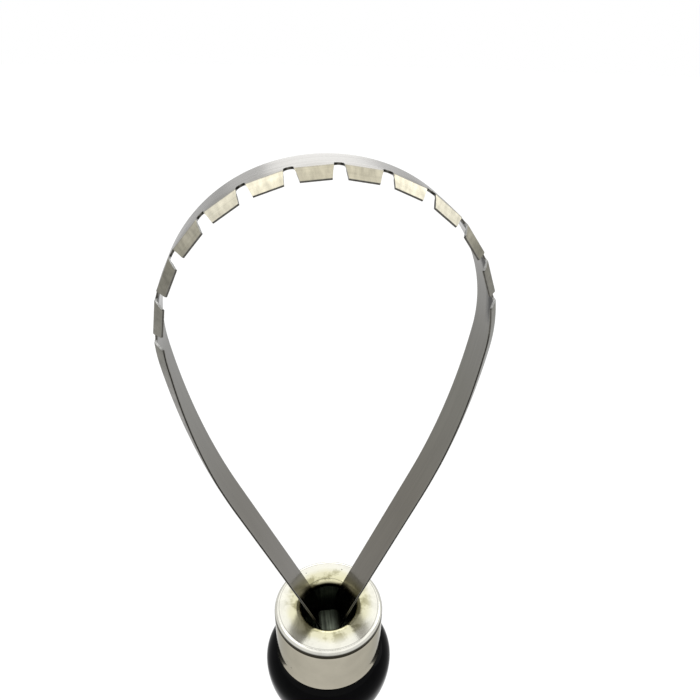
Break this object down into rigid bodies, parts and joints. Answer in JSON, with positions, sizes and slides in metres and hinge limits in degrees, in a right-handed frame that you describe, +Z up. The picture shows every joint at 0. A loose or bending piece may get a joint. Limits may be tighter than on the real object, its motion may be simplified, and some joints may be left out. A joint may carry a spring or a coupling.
{
  "type": "oil filter wrench",
  "caption": "Band wrench with a tear-drop loop of toothed spring steel that a turning black handle draws in through a plated ferrule to grip a filter canister.",
  "frame": {"origin": "centre of the handle's flat butt", "axes": "+Z up the handle towards the loop, X across the loop, -Y towards the toothed edge of the band"},
  "size_m": [0.0858, 0.046, 0.2716],
  "materials": {
    "nickel": "bright nickel plate",
    "spring_steel": "bright rolled, brushed lengthwise",
    "steel": "plain turned",
    "black_handle": "gloss",
    "brass": "plain turned",
    "fibre": "matt"
  },
  "bodies": {
    "nose": {"ferrule": "nickel", "spindle": "steel", "seat_washer": "fibre", "snap_ring": "steel"},
    "grip": {"handle": "black_handle", "handle_bush": "brass", "thrust_washer": "brass", "draw_nut": "brass", "nut_keys": "steel"},
    "draw": {"draw_screw": "steel", "toothed_band": "spring_steel", "left_clamp_plate": "steel", "right_clamp_plate": "steel", "band_rivets": "steel", "stop_collar": "steel", "stop_pin": "steel"}
  },
  "joints": [
    {"name": "handle_turn", "type": "hinge", "parent": "nose", "child": "grip", "pos_m": [0, 0, 0], "axis": [0, 0, 1], "range_deg": [0, 2160]},
    {"name": "band_draw", "type": "slide", "parent": "nose", "child": "draw", "axis": [0, 0, -1], "range_m": [0, 0.018], "deforming": ["toothed_band"]}
  ],
  "couplings": [
    {"joint": "band_draw", "follows": "handle_turn", "m_per_rad": 0.00047746}
  ]
}
